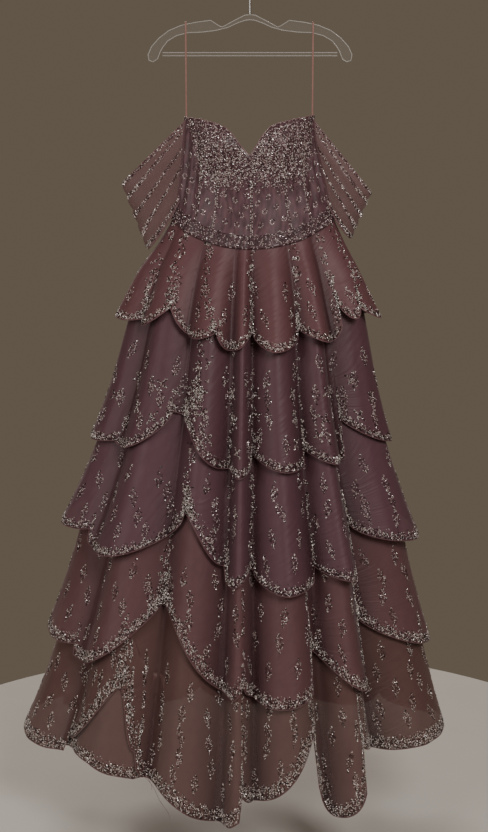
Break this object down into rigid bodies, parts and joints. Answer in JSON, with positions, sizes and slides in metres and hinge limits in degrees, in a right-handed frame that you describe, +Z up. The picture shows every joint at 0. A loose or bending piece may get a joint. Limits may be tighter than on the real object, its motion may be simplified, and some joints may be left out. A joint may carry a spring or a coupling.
{
  "type": "a-line evening dress on a hanger",
  "caption": "Off-the-shoulder a-line evening dress with a sweetheart bodice, beaded belt and scalloped petal tiers, hung by ribbon loops on a clear hanger.",
  "frame": {"origin": "inside of the hook's crown, where a rail carries the hanger", "axes": "+Z up, -Y out of the gown's front, +X to the right of someone who faces it"},
  "size_m": [0.9107, 0.4748, 1.6963],
  "materials": {
    "petal_organza": "sheer organza, soft sheen",
    "sleeve_organza": "sheer organza, soft sheen",
    "bodice_cloth": "sequinned mesh over satin",
    "beaded_belt": "dense beading",
    "lining": "plain lining",
    "satin_ribbon": "satin",
    "clear_plastic": "clear, glossy",
    "hook_metal": "polished wire"
  },
  "bodies": {
    "root": {"belt_back": "beaded_belt", "belt_front": "beaded_belt", "bodice_back_left": "bodice_cloth", "bodice_back_right": "bodice_cloth", "bodice_front_left": "bodice_cloth", "bodice_front_right": "bodice_cloth", "bodice_side_left": "bodice_cloth", "bodice_side_right": "bodice_cloth", "hanger_arms": "clear_plastic", "hanger_bar": "clear_plastic", "hook": "hook_metal", "ribbon_left": "satin_ribbon", "ribbon_right": "satin_ribbon", "sleeve_left": "sleeve_organza", "sleeve_right": "sleeve_organza", "tier_1_back": "petal_organza", "tier_1_front": "petal_organza", "tier_2_back": "petal_organza", "tier_2_front": "petal_organza", "tier_3_back": "petal_organza", "tier_3_front": "petal_organza", "tier_4_back": "petal_organza", "tier_4_front": "petal_organza", "tier_5_back": "petal_organza", "tier_5_front": "petal_organza", "under_petal": "petal_organza", "underskirt_back": "lining", "underskirt_front": "lining"}
  },
  "joints": []
}
